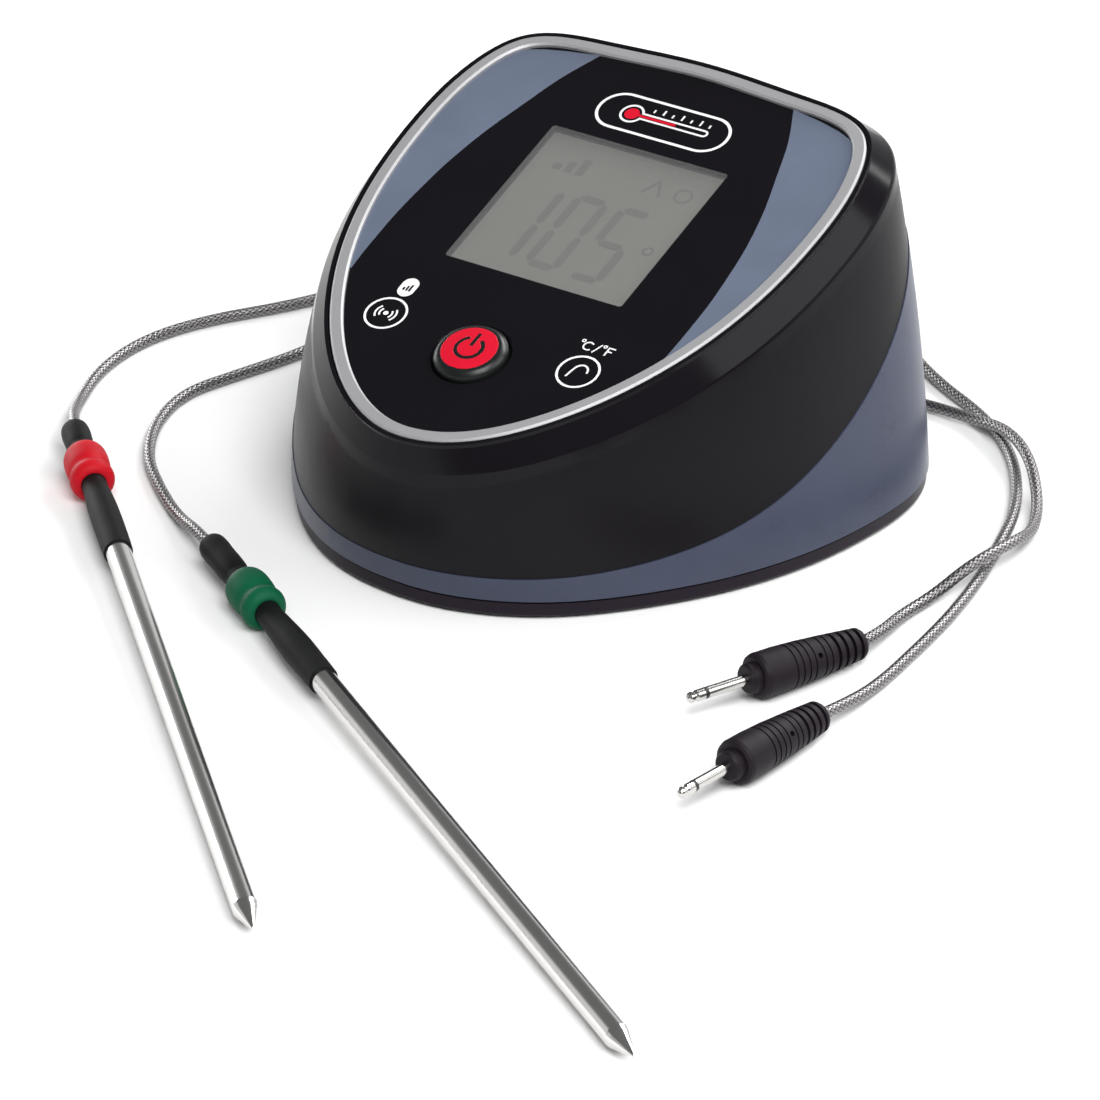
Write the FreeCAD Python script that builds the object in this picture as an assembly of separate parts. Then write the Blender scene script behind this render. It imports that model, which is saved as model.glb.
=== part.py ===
"""Two-probe grill thermometer: a desk unit with a tilted face, and two loose probe leads.

Millimetres, +Z up.  The origin is the centre of the desk unit's underside, the front is -Y.
"Face" shapes are drawn in the frame of the tilted face: u to the right, v up the slope, w out of it.
"""
import FreeCAD, Part
import math
import os

from FreeCAD import Placement, Rotation, Vector

os.makedirs("parts", exist_ok=True)

# ---------------------------------------------------------------- driving dimensions
# Desk unit
FACE_TILT = 19.0              # slope of the face, degrees
FACE_ORIGIN = Vector(0, 10.6, 63.3)   # middle of the display window
WALL = 2.4                    # housing wall
SKIN = 1.2                    # inner half of the wall, which makes the tongue of the seam
FOOT_TOP = 4.4                # where the housing starts
BAND_TOP = 3.8                # top of the foot band, below a shadow gap
UNDERSIDE = 0.4               # foot plate above the table; the rubber stands below it
FLOOR_TOP = 2.4               # inner floor of the foot plate
SHOULDER_W = -5.6             # height of the walls' top edge, below the face
SHOULDER_RADIUS = 2         # rounding of the edge between wall and shoulder
LIP_OUT = 1.2                 # thin black lip round the trim ring
LIP_FOOT, LIP_TOP = -0.7, 0.25
WALL_BULGE = 1.2              # how far the walls swell between foot and shoulder
SEAM_STEP = 0.2               # how far the lower shell stands proud of the upper one
SEAM_GAP = 0.2                # shadow gap between the two shells
TONGUE = 2.2                  # tongue of the lower shell behind the seam

# Outlines, right half only, from the front round to the back
FOOT_HALF = [(0, -61.3), (16.8, -58.6), (33, -49.7), (46.7, -35.6), (58, -18.8), (65.8, 0),
             (69.8, 20), (68.9, 41), (59.8, 55.6), (35, 61.6), (0, 62.4)]
TRIM_HALF = [(0, -74.7), (13.2, -71.3), (26.6, -60.8), (38.2, -45.2), (46.5, -27.4), (51.2, -8.9),
             (52.9, 12), (50.8, 32.5), (45, 43.9), (25, 49.1), (0, 50.6)]
# How far the walls' top edge stands outside the trim, at the same points
SHOULDER_OUT = [4.2, 4.3, 4.6, 5.0, 5.3, 5.5, 5.6, 5.6, 5.5, 5.2, 5.0]
# Side view of the seam between the black and the slate shell: (y, z)
SEAM = [(-70, 10.2), (-48, 10.2), (-30, 12.4), (-12, 17), (6, 24.2), (22, 32.5),
        (36, 41.5), (50, 51.5), (70, 66)]

# Face stack, heights along w
LEDGE_TOP = -2.6
LEDGE_BOTTOM = -6.6
FASCIA_TOP = -0.5
TRIM_TOP = 0.6
TRIM_WIDTH = 3.0
TRIM_GAP = 0.3
BOARD_TOP = -9.4
BOARD_BOTTOM = -11.0

WINDOW_W, WINDOW_H = 46.0, 45.0
BUTTON_V = -47.2
BUTTON_R = 8.3
BUTTON_HOLE_R = 8.75
BUTTON_TRAVEL = 0.8
KEY_U, KEY_V = 25.0, -43.1

# Batteries and their bay
CELL_R, CELL_L = 7.15, 49.0
CELL_Y = (19.8, 36.5)
CELL_Z = 9.3
BAY = (-29.7, 29.7, 11.8, 44.5, 19.1)       # x low, x high, y low, y high, top
BAY_WALL = 1.5
DOOR = (-32.2, 32.2, 9.3, 47.0)             # x low, x high, y low, y high
DOOR_T = 1.25
DOOR_GAP = 0.3

# Fasteners and sockets
POST_AT = [(50, 18), (-50, 18), (33.5, -30), (-33.5, -30)]
POST_R = 3.4
BOARD_SCREW_AT = [(45.3, 30), (-45.3, 30), (41, -20), (-41, -20)]
JACK_X = (-16, 16)
JACK_Z = 22.0
JACK_BORE_R = 1.3
JACK_DEPTH = 14.0
JACK_MOUTH_Y = 63.6

# Probe leads
CABLE_R = 1.3
NEEDLE_R, NEEDLE_L = 2.8, 156.0
NEEDLE_POINT = 8.0
CABLE_ROOT = -46.0            # where the cable enters the crimp, behind the sleeve's front end
NECK_R = 2.85
RING_BACK = 38.0              # ring centre behind the front end of the sleeve
RING_R = 5.0
RING_HALF = 6.8               # half the ring's length
RING_TRAVEL = 3.0
PROBE_DROP = 0.62             # the probe leans on its ring and on its point, degrees
PLUG_L = 30.5
PLUG_REAR_Z, PLUG_NOSE = 4.26, 1.9   # the plug lies on its belly, its rear end a little low
PLUG_SKIN = [(-30.5, 3.4), (-27.5, 3.66), (-21.5, 4.2), (-14.0, 4.75), (-8.0, 5.0), (-3.4, 5.0)]
PLUG_PIN_L = 15.3
PLUG_PIN_R = 1.25
COIL_MID_R = 15.5             # middle of the wound length of each cable


def save(name, shape):
    shape.exportStep("parts/" + name + ".step")


def note(text):
    print(text)


# ---------------------------------------------------------------- small helpers
def on_face(shape):
    """Moves a shape from the face frame into place."""
    shape.Placement = FACE.multiply(shape.Placement)
    return shape


FACE = Placement(FACE_ORIGIN, Rotation(Vector(1, 0, 0), FACE_TILT))


def outline_curve(half, place):
    """A smooth closed curve through a half outline and its mirror image."""
    mirrored = [(-x, y) for x, y in reversed(half[1:-1])]
    curve = Part.BSplineCurve()
    curve.interpolate([place(x, y) for x, y in half + mirrored], PeriodicFlag=True)
    return curve


def flat(height):
    return lambda x, y: Vector(x, y, height)


def grown(half, distance):
    """The half outline moved outwards, or inwards when the distance is negative."""
    return swelled(half, [distance] * len(half))


def swelled(half, distances):
    """The half outline with each of its points moved outwards by its own distance."""
    curve = outline_curve(half, flat(0))
    moved = []
    for (x, y), distance in zip(half, distances):
        tangent = curve.tangent(curve.parameter(Vector(x, y, 0)))[0]
        moved.append((x + tangent.y * distance if x else 0.0, y - tangent.x * distance))
    return moved


def prism(half, low, high):
    wire = Part.Wire(outline_curve(half, flat(low)).toShape())
    return Part.Face(wire).extrude(Vector(0, 0, high - low))


def block(x0, x1, y0, y1, z0, z1):
    return Part.makeBox(x1 - x0, y1 - y0, z1 - z0, Vector(x0, y0, z0))


def rounded_block(x0, x1, y0, y1, z0, z1, radius):
    box = block(x0, x1, y0, y1, z0, z1)
    upright = [e for e in box.Edges if e.BoundBox.ZLength > z1 - z0 - 0.01]
    return box.makeFillet(radius, upright)


def rod(x, y, z0, z1, radius):
    return Part.makeCylinder(radius, z1 - z0, Vector(x, y, z0))


def turned(profile):
    """A solid turned about the X axis from (x, radius) points, closed along the axis."""
    points = [Vector(x, r, 0) for x, r in profile]
    wire = Part.makePolygon(points + [points[0]])
    return Part.Face(wire).revolve(Vector(0, 0, 0), Vector(1, 0, 0), 360)


def smooth_turned(profile, bore=0.0):
    """As turned, with one smooth curve through the profile's points."""
    curve = Part.BSplineCurve()
    curve.interpolate([Vector(x, r, 0) for x, r in profile])
    first, last = profile[0], profile[-1]
    corners = [Vector(last[0], last[1], 0), Vector(last[0], bore, 0),
               Vector(first[0], bore, 0), Vector(first[0], first[1], 0)]
    lines = [Part.LineSegment(a, b).toShape() for a, b in zip(corners, corners[1:])]
    wire = Part.Wire([curve.toShape()] + lines)
    return Part.Face(wire).revolve(Vector(0, 0, 0), Vector(1, 0, 0), 360)


def tube(name, points, radius):
    """A cable along straight runs joined by tangent arcs."""
    points = [Vector(*p) for p in points]
    edges = []
    start = points[0]
    radii = []
    for before, corner, after in zip(points, points[1:], points[2:]):
        come, leave = corner - before, after - corner
        trim = 0.45 * min(come.Length, leave.Length)
        turn = come.getAngle(leave)
        radii.append(trim / math.tan(turn / 2))
        come.normalize()
        leave.normalize()
        enter, exit_at = corner - come * trim, corner + leave * trim
        inward = leave - come
        inward.normalize()
        sag = radii[-1] * (1 / math.cos(turn / 2) - 1)
        edges.append(Part.LineSegment(start, enter).toShape())
        edges.append(Part.Arc(enter, corner + inward * sag, exit_at).toShape())
        start = exit_at
    edges.append(Part.LineSegment(start, points[-1]).toShape())
    path = Part.Wire(edges)
    section = Part.Wire(Part.makeCircle(radius, points[0], points[1] - points[0]))
    solid = path.makePipeShell([section], True, False)
    expected = path.Length * math.pi * radius ** 2
    note("%s: length %.1f, smallest radius %.1f, volume %.4f of section x length"
         % (name, path.Length, min(radii), solid.Volume / expected))
    return solid, path.Length


# ---------------------------------------------------------------- housing
def foot_points(inset, height):
    return [Vector(x, y, height) for x, y in grown(FOOT_HALF, -inset)]


def face_points(outline, w):
    return [FACE.multVec(Vector(u, v, w)) for u, v in outline]


def shoulder_points(inset, w):
    """Right half of the walls' top edge, moved inwards by inset."""
    return face_points(swelled(TRIM_HALF, [out - inset for out in SHOULDER_OUT]), w)


def closed_wire(right):
    left = [Vector(-p.x, p.y, p.z) for p in reversed(right[1:-1])]
    curve = Part.BSplineCurve()
    curve.interpolate(right + left, PeriodicFlag=True)
    return Part.Wire(curve.toShape())


def wall_loft(inset, bottom, top):
    """The walls' closed form from the foot to the shoulder, moved inwards by inset."""
    low = foot_points(inset, bottom)
    high = shoulder_points(inset, top)
    middle = []
    for a, b in zip(low, high):
        centre = (a + b) * 0.5
        outward = Vector(centre.x, centre.y, 0)
        outward.normalize()
        middle.append(centre + outward * WALL_BULGE)
    return Part.makeLoft([closed_wire(points) for points in (low, middle, high)], True, False)


def rounded_housing():
    """Walls, the rounded shoulder above them, and the thin lip round the trim ring."""
    walls = wall_loft(0, FOOT_TOP, SHOULDER_W)
    sides = [closed_wire(shoulder_points(0, SHOULDER_W)),
             closed_wire(face_points(grown(TRIM_HALF, LIP_OUT), LIP_FOOT))]
    body = walls.fuse(Part.makeLoft(sides, True, True)).removeSplitter()
    edge = [e for e in body.Edges
            if abs(face_height(e.valueAt(e.FirstParameter)) - SHOULDER_W) < 0.01
            and abs(face_height(e.valueAt(e.LastParameter * 0.5)) - SHOULDER_W) < 0.01]
    body = body.makeFillet(SHOULDER_RADIUS, edge)
    return body.fuse(on_face(prism(grown(TRIM_HALF, LIP_OUT), LIP_FOOT - 1, LIP_TOP)))


def face_height(point):
    return FACE.inverse().multVec(point).z


def below_seam(rise):
    """Everything under the seam, moved up by rise."""
    curve = Part.BSplineCurve()
    curve.interpolate([Vector(-90, y, z + rise) for y, z in SEAM])
    (y0, z0), (y1, z1) = SEAM[0], SEAM[-1]
    corners = [Vector(-90, y1, z1 + rise), Vector(-90, y1, -10), Vector(-90, y0, -10),
               Vector(-90, y0, z0 + rise)]
    lines = [Part.LineSegment(a, b).toShape() for a, b in zip(corners, corners[1:])]
    return Part.Face(Part.Wire([curve.toShape()] + lines)).extrude(Vector(180, 0, 0))


def lower_shell(outer, inner):
    """Slate shell: the wall under the seam, with a tongue that stands up behind the seam."""
    wall = outer.common(below_seam(0))
    tongue = wall_loft(SKIN, FOOT_TOP, SHOULDER_W).common(below_seam(TONGUE))
    shell = wall.fuse(tongue).cut(inner)
    for x in JACK_X:
        shell = shell.cut(Part.makeCylinder(3.35, 12, Vector(x, 56, JACK_Z), Vector(0, 1, 0)))
    return shell


def upper_shell(outer, inner):
    """Black shell: the wall above the seam, the shoulder, lip, ledge and screw posts."""
    above = outer.cut(below_seam(SEAM_GAP))
    rebate = wall_loft(SKIN - 0.12, FOOT_TOP, SHOULDER_W).common(below_seam(TONGUE + SEAM_GAP))
    shell = above.cut(inner).cut(rebate)
    posts = [rod(x, y, 4.5, 80, POST_R).common(outer) for x, y in POST_AT]
    shell = shell.multiFuse(posts)
    pocket = on_face(prism(grown(TRIM_HALF, TRIM_GAP), LEDGE_TOP, 8))
    opening = on_face(prism(grown(TRIM_HALF, -5.5), LEDGE_BOTTOM - 3, 8))
    shell = shell.cut(pocket).cut(opening)
    bosses = [on_face(rod(u, v, BOARD_TOP, LEDGE_TOP, 2.6)) for u, v in BOARD_SCREW_AT]
    shell = shell.multiFuse(bosses)
    for x, y in POST_AT:
        shell = shell.cut(rod(x, y, 4, 18, 1.2))
    for u, v in BOARD_SCREW_AT:
        shell = shell.cut(on_face(rod(u, v, BOARD_TOP - 1, -4, 0.85)))
    return shell


# ---------------------------------------------------------------- foot, batteries and door
def base_plate():
    """Foot band and floor in one, with the battery bay, screw pads and socket-board posts."""
    band = prism(grown(FOOT_HALF, -0.3), UNDERSIDE, BAND_TOP)
    bottom_edge = [e for e in band.Edges if e.BoundBox.ZMax < UNDERSIDE + 0.01]
    band = band.makeFillet(0.9, bottom_edge)
    neck = prism(grown(FOOT_HALF, -1.5), BAND_TOP, FOOT_TOP)
    locator = prism(grown(FOOT_HALF, -WALL - 1.0), FOOT_TOP, 7)
    pocket = prism(grown(FOOT_HALF, -WALL - 2.6), FLOOR_TOP, 8)
    plate = band.fuse(neck).fuse(locator).cut(pocket)
    x0, x1, y0, y1, top = BAY
    walls = block(x0 - BAY_WALL, x1 + BAY_WALL, y0 - BAY_WALL, y1 + BAY_WALL, 1, top + BAY_WALL)
    pads = [rod(x, y, 1, 4.4, 4.6) for x, y in POST_AT]
    board_posts = [rod(x, 53, 1, JACK_Z - 6.2, 2.4) for x in (-24, 24)]
    plate = plate.multiFuse([walls] + pads + board_posts)
    plate = plate.cut(block(x0, x1, y0, y1, -1, top))
    dx0, dx1, dy0, dy1 = DOOR
    recess = rounded_block(dx0 - DOOR_GAP, dx1 + DOOR_GAP, dy0 - DOOR_GAP, dy1 + DOOR_GAP,
                           -1, UNDERSIDE + DOOR_T + 0.2, 3)
    hinge_end = block(dx0 - DOOR_GAP, dx1 + DOOR_GAP, dy0 - DOOR_GAP, dy0 + 6,
                      -1, UNDERSIDE + DOOR_T + 0.2)
    plate = plate.cut(recess).cut(hinge_end)
    for side in (-1, 1):
        centre = side * 18
        plate = plate.cut(block(centre - 4.4, centre + 4.4, 5, dy0, 0.95, 6))
        plate = plate.cut(block(centre - 4.4, centre + 4.4, dy0 - 0.1, dy0 + 1.6, 0.95, 3.2))
    plate = plate.cut(block(-5.5, 5.5, y1 + BAY_WALL - 0.1, dy1 + 0.5, 0, 6))
    plate = plate.cut(pad_shape(0.2, 1.05)).cut(foot_discs(5.2, 1.05))
    for x, y in POST_AT:
        plate = plate.cut(rod(x, y, 0, 2.6, 2.8)).cut(rod(x, y, 0, 5, 1.5))
    return plate


def pad_shape(growth, top):
    return rounded_block(-28 - growth, 28 + growth, -44 - growth, 3.4 + growth, 0, top,
                         14 + growth)


def foot_discs(radius, top):
    return rod(46, 38, 0, top, radius).fuse(rod(-46, 38, 0, top, radius))


def battery_door():
    """Door flush with the underside: rounded hinge edge, two hooked tabs and a snap hook."""
    x0, x1, y0, y1 = DOOR
    plate = block(x0, x1, y0, y1, UNDERSIDE, UNDERSIDE + DOOR_T)
    corners = [e for e in plate.Edges if e.BoundBox.ZLength > 1 and e.BoundBox.YMin > y1 - 1]
    plate = plate.makeFillet(2.7, corners)
    hinge_edges = [e for e in plate.Edges if e.BoundBox.XLength > 60 and e.BoundBox.YMax < y0 + 1]
    plate = plate.makeFillet(DOOR_T / 2 - 0.01, hinge_edges)
    top = UNDERSIDE + DOOR_T
    tabs = [block(c - 4, c + 4, y0 - 3.6, y0 + 2, 1.15, top) for c in (-18, 18)]
    hook = block(-5, 5, y1 - 0.9, y1, top - 0.2, 4.4)
    grip = [block(-9, 9, y1 - 6 - 2 * k, y1 - 5 - 2 * k, 0, UNDERSIDE + 0.3) for k in range(4)]
    door = plate.multiFuse(tabs + [hook])
    for groove in grip:
        door = door.cut(groove)
    return door


def cell(y):
    """One AA cell along X, with its positive nub."""
    body = Part.makeCylinder(CELL_R, CELL_L, Vector(-24.8, y, CELL_Z), Vector(1, 0, 0))
    nub = Part.makeCylinder(2.7, 1.2, Vector(-24.8 + CELL_L, y, CELL_Z), Vector(1, 0, 0))
    return body.fuse(nub)


def battery_springs():
    """Conical springs at the cells' flat ends, each on its contact plate."""
    springs = []
    for y in CELL_Y:
        plate = block(-29.6, -29.1, y - 5, y + 5, 3.5, 15)
        cone = Part.makeCone(3.6, 2.6, 4.2, Vector(-29.1, y, CELL_Z), Vector(1, 0, 0))
        hollow = Part.makeCone(2.9, 1.9, 4.2, Vector(-29.1, y, CELL_Z), Vector(1, 0, 0))
        springs.append(plate.fuse(cone.cut(hollow)))
    return Part.makeCompound(springs)


def battery_contact():
    """One strip that joins the two cells at their nub ends."""
    strip = block(29.0, 29.5, CELL_Y[0] - 5, CELL_Y[1] + 5, 4, 15)
    dimples = [Part.makeCylinder(2.2, 3.5, Vector(25.5, y, CELL_Z), Vector(1, 0, 0)) for y in CELL_Y]
    return strip.multiFuse(dimples)


def base_screws():
    """Four self-tapping screws from below into the upper shell's posts."""
    screws = []
    for x, y in POST_AT:
        head = rod(x, y, 1.1, 2.6, 2.6).cut(block(x - 2, x + 2, y - 0.35, y + 0.35, 0, 1.8))
        head = head.cut(block(x - 0.35, x + 0.35, y - 2, y + 2, 0, 1.8))
        screws.append(head.fuse(rod(x, y, 2.6, 16, 1.15)))
    return Part.makeCompound(screws)


# ---------------------------------------------------------------- face stack
def trim_ring():
    ring = prism(TRIM_HALF, LEDGE_TOP, TRIM_TOP)
    ring = ring.cut(prism(grown(TRIM_HALF, -TRIM_WIDTH), LEDGE_TOP - 1, TRIM_TOP + 1))
    top_edges = [e for e in ring.Edges if e.BoundBox.ZMin > TRIM_TOP - 0.01]
    return on_face(ring.makeChamfer(0.45, top_edges))


def fascia():
    panel = prism(grown(TRIM_HALF, -TRIM_WIDTH - 0.05), LEDGE_TOP, FASCIA_TOP)
    half_w, half_h = WINDOW_W / 2, WINDOW_H / 2
    panel = panel.cut(rounded_block(-half_w, half_w, -half_h, half_h, -4, 1, 0.8))
    panel = panel.cut(rod(0, BUTTON_V, -4, 1, BUTTON_HOLE_R))
    panel = panel.cut(Part.makeCone(BUTTON_HOLE_R - 0.1, BUTTON_HOLE_R + 1.0, 1.1,
                                    Vector(0, BUTTON_V, FASCIA_TOP - 0.5)))
    return on_face(panel)


def window_lens():
    half_w, half_h = WINDOW_W / 2 - 0.03, WINDOW_H / 2 - 0.03
    return on_face(rounded_block(-half_w, half_w, -half_h, half_h, -1.9, FASCIA_TOP, 0.8))


def lcd_panel():
    return on_face(block(-25.5, 25.5, -25, 25, -4.55, -2.65))


def backlight_panel():
    return on_face(block(-25, 25, -22.2, 25, -7.0, -4.6))


def lcd_holder():
    frame = rounded_block(-29, 29, -28.5, 28.5, BOARD_TOP, -2.65, 2)
    frame = frame.cut(block(-25.7, 25.7, -25.2, 25.2, -7.05, 0))
    frame = frame.cut(block(-24.6, 24.6, -25.1, -22.7, -12, 0))
    return on_face(frame)


def contact_strip():
    """Elastomer strip that carries the segment signals from the board to the display."""
    return on_face(block(-24.4, 24.4, -24.9, -22.9, BOARD_TOP, -4.6))


def main_board():
    board = prism(grown(TRIM_HALF, -3.0), BOARD_BOTTOM, BOARD_TOP)
    for u, v in BOARD_SCREW_AT:
        board = board.cut(rod(u, v, -12, -9, 1.1))
    board = on_face(board)
    for x, y in POST_AT:
        board = board.cut(rod(x, y, 20, 75, POST_R + 0.6))
    return board


def board_screws():
    screws = []
    for u, v in BOARD_SCREW_AT:
        head = rod(u, v, BOARD_BOTTOM - 1.2, BOARD_BOTTOM, 1.9)
        screws.append(head.fuse(rod(u, v, BOARD_BOTTOM, -5, 0.8)))
    return on_face(Part.makeCompound(screws))


def board_chips():
    """Controller, probe amplifier, crystal and driver on the back of the board."""
    low = BOARD_BOTTOM
    return on_face(Part.makeCompound([
        block(-21, -11, -6, 4, low - 1.4, low), block(10, 17, 0, 7, low - 1.2, low),
        block(-4, 4, -16, -12.5, low - 2.2, low), block(20, 26, -14, -9, low - 1.0, low)]))


def radio_module():
    carrier = block(-10, 10, 20, 38, BOARD_BOTTOM - 0.8, BOARD_BOTTOM)
    can = rounded_block(-8, 8, 21, 33, BOARD_BOTTOM - 3.0, BOARD_BOTTOM - 0.8, 1)
    return on_face(carrier.fuse(can))


def buzzer():
    case = rod(-24, 26, BOARD_BOTTOM - 5, BOARD_BOTTOM, 7)
    return on_face(case.cut(rod(-24, 26, BOARD_BOTTOM - 6, BOARD_BOTTOM - 3.5, 1.4)))


def board_plug():
    """Header on the board where the battery and socket leads arrive."""
    header = block(-8, 8, -30, -24, BOARD_BOTTOM - 5.5, BOARD_BOTTOM)
    return on_face(header.cut(block(-7, 7, -29, -25, BOARD_BOTTOM - 6, BOARD_BOTTOM - 1.5)))


def touch_key_pads():
    """Conductive foam pads under the two printed touch keys."""
    return on_face(Part.makeCompound([rod(side * KEY_U, KEY_V, BOARD_TOP, LEDGE_TOP - 0.05, 2.7)
                                      for side in (-1, 1)]))


def button_switch():
    body = block(-3.1, 3.1, BUTTON_V - 3.1, BUTTON_V + 3.1, BOARD_TOP, -6.4)
    return on_face(body.cut(rod(0, BUTTON_V, -9.2, -5, 1.75)))


def switch_plunger():
    return on_face(rod(0, BUTTON_V, -8.1, -5.45, 1.6))


def power_button():
    """Rubber cap with a domed top, a flange that keeps it in, and a stem down to the switch."""
    flange_top, flange_low = LEDGE_TOP - 0.15, LEDGE_TOP - 1.3
    crown = FASCIA_TOP + 2.0
    profile = [(-5.45, 0), (-5.45, 2.0), (flange_low, 2.0), (flange_low, 9.6), (flange_top, 9.6),
               (flange_top, BUTTON_R), (crown - 1.5, BUTTON_R)]
    arc_points = [(crown - 1.5 + 1.1 * math.sin(a), BUTTON_R - 1.1 + 1.1 * math.cos(a))
                  for a in (math.radians(d) for d in (22.5, 45, 67.5, 90))]
    profile += arc_points + [(crown, 4.5), (crown + 0.1, 0)]
    cap = turned(profile)
    cap.rotate(Vector(0, 0, 0), Vector(0, 1, 0), -90)
    cap.translate(Vector(0, BUTTON_V, 0))
    return on_face(cap)


# ---------------------------------------------------------------- sockets at the back
def probe_jack(x):
    """2.5 mm socket: a block on the socket board with a nose through the rear wall."""
    body = block(x - 5, x + 5, 47.4, 59.4, JACK_Z - 4.5, JACK_Z + 4.5)
    nose = Part.makeCylinder(3.2, JACK_MOUTH_Y - 59.4, Vector(x, 59.4, JACK_Z), Vector(0, 1, 0))
    bore = Part.makeCylinder(JACK_BORE_R, JACK_DEPTH, Vector(x, JACK_MOUTH_Y - JACK_DEPTH, JACK_Z),
                             Vector(0, 1, 0))
    slot = block(x + 1.6, x + 2.4, 49, 58, JACK_Z - 6, JACK_Z + 2)
    return body.fuse(nose).cut(bore).cut(slot)


def jack_contacts():
    """Leaf springs beside the socket bores."""
    return Part.makeCompound([block(x + 1.8, x + 2.2, 49.3, 57.7, JACK_Z - 4.5, JACK_Z + 1.6)
                              for x in JACK_X])


def jack_board():
    return rounded_block(-27, 27, 47.6, 58.4, JACK_Z - 6.2, JACK_Z - 4.5, 2)


def inner_leads():
    """Battery lead pair and socket lead, from the bay and the socket board to the header."""
    battery_a, _ = tube("battery lead", [(33, 22, 12), (36, 20, 18), (36, 8, 28), (22, -8, 33),
                                         (8, -16.5, 35.5)], 0.7)
    battery_b, _ = tube("battery lead", [(33, 18, 10), (37.5, 15, 17), (34, 2, 27),
                                         (20, -12, 31.5), (8, -19.5, 34)], 0.7)
    socket, _ = tube("socket lead", [(-27.8, 52, 18), (-34, 46, 23), (-36, 26, 29), (-31, 5, 32.5),
                                     (-20, -10, 34), (-8, -17.5, 35.2)], 0.9)
    return Part.makeCompound([battery_a, battery_b, socket])


# ---------------------------------------------------------------- probe leads
def needle():
    """Steel tube with a conical point and a blind bore for the sensor."""
    straight = NEEDLE_L - NEEDLE_POINT
    body = turned([(-30, 0), (-30, NEEDLE_R), (straight, NEEDLE_R), (straight + 1.2, NEEDLE_R - 0.3),
                   (NEEDLE_L - 0.4, 0.35), (NEEDLE_L, 0)])
    bore = Part.makeCylinder(NEEDLE_R - 0.6, straight + 26, Vector(-31, 0, 0), Vector(1, 0, 0))
    return body.cut(bore)


def sensor():
    """Thermistor bead at the tip end of the bore, on its twin wire."""
    bead = smooth_turned([(133, 0.01), (135, 1.6), (139, 1.6), (141, 0.01)])
    wires = [Part.makeCylinder(0.35, 156, Vector(-22.5, s * 0.5, 0), Vector(1, 0, 0))
             for s in (-1, 1)]
    return bead.multiFuse(wires)


def ferrule():
    """Crimp that joins the braided cable to the steel tube, inside the sleeve."""
    tube_end = turned([(-46, 0), (-46, 2.2), (-30.1, 2.2), (-30.1, 0)])
    throat = Part.makeCylinder(CABLE_R, 10, Vector(-47, 0, 0), Vector(1, 0, 0))
    return tube_end.cut(throat)


def sleeve(length, front_skin):
    """Shrunk sleeve: a rounded rear end, the neck where the ring sits, and a lumpy front."""
    ring_at, rear = -RING_BACK, -length
    neck_half = RING_HALF + RING_TRAVEL + 0.2
    back_part = smooth_turned([(rear, CABLE_R + 0.9), (rear + 0.5, 2.8), (rear + 2, 3.2),
                               (rear + 6, 3.2), (ring_at - neck_half - 1.5, 3.05),
                               (ring_at - neck_half, NECK_R)])
    neck = Part.makeCylinder(NECK_R, 2 * neck_half, Vector(ring_at - neck_half, 0, 0),
                             Vector(1, 0, 0))
    front_part = smooth_turned([(ring_at + neck_half, NECK_R)] + front_skin)
    skin = back_part.fuse(neck).fuse(front_part)
    for x0, x1, r in ((rear - 1, CABLE_ROOT, CABLE_R + 0.05), (CABLE_ROOT, -30, 2.2),
                      (-30, 1, NEEDLE_R)):
        skin = skin.cut(Part.makeCylinder(r, x1 - x0, Vector(x0, 0, 0), Vector(1, 0, 0)))
    return skin


def indicator_ring():
    """Silicone ring: a broad round barrel behind, a narrow groove and a round lobe in front."""
    ring = smooth_turned([(-RING_HALF, 3.5), (-6.4, 4.3), (-5.2, 4.82), (-3.2, RING_R),
                          (-1.0, 4.95), (0.8, 4.7), (1.9, 4.42), (2.9, 4.62), (4.2, RING_R),
                          (5.6, 4.75), (6.5, 4.05), (RING_HALF, 3.4)])
    ring = ring.cut(Part.makeCylinder(NECK_R + 0.08, 30, Vector(-15, 0, 0), Vector(1, 0, 0)))
    ring.translate(Vector(-RING_BACK, 0, 0))
    return ring


def plug_radius(x):
    for (x0, r0), (x1, r1) in zip(PLUG_SKIN, PLUG_SKIN[1:]):
        if x0 <= x <= x1:
            return r0 + (r1 - r0) * (x - x0) / (x1 - x0)
    return PLUG_SKIN[-1][1]


def plug_grip():
    """Moulded grip: front boss, plain belly, fine grooves, four deep ones, round end."""
    grip = turned([(-PLUG_L, 0), (-PLUG_L, 2.3), (-PLUG_L + 0.3, 3.0)]
                  + [(-PLUG_L + 1.0, plug_radius(-PLUG_L + 1.0))] + PLUG_SKIN[1:]
                  + [(-2.6, 4.75), (-2.2, 4.2), (-2.2, 3.4), (-0.5, 3.3), (0, 2.9), (0, 0)])
    for x in (-10.2, -11.9, -13.6, -15.3, -18.1, -19.8):
        grip = grip.cut(groove(x, 0.22, plug_radius(x), 0.3))
    for k in range(4):
        x = -21.9 - 2.15 * k
        grip = grip.cut(groove(x, 0.45, plug_radius(x), 1.0))
    for angle in (35, 125, 215, 305):
        a = math.radians(angle)
        out = Vector(0, math.cos(a), math.sin(a))
        grip = grip.cut(Part.makeCylinder(0.6, 3, Vector(-16.7, 0, 0) + out * 3.4, out))
    return grip.cut(Part.makeCylinder(PLUG_PIN_R, 12, Vector(-11, 0, 0), Vector(1, 0, 0)))


def groove(x, half_width, radius, depth):
    outer = Part.makeCylinder(radius + 1, 2 * half_width, Vector(x - half_width, 0, 0),
                              Vector(1, 0, 0))
    inner = Part.makeCylinder(radius - depth, 2 * half_width, Vector(x - half_width, 0, 0),
                              Vector(1, 0, 0))
    return outer.cut(inner)


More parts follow.
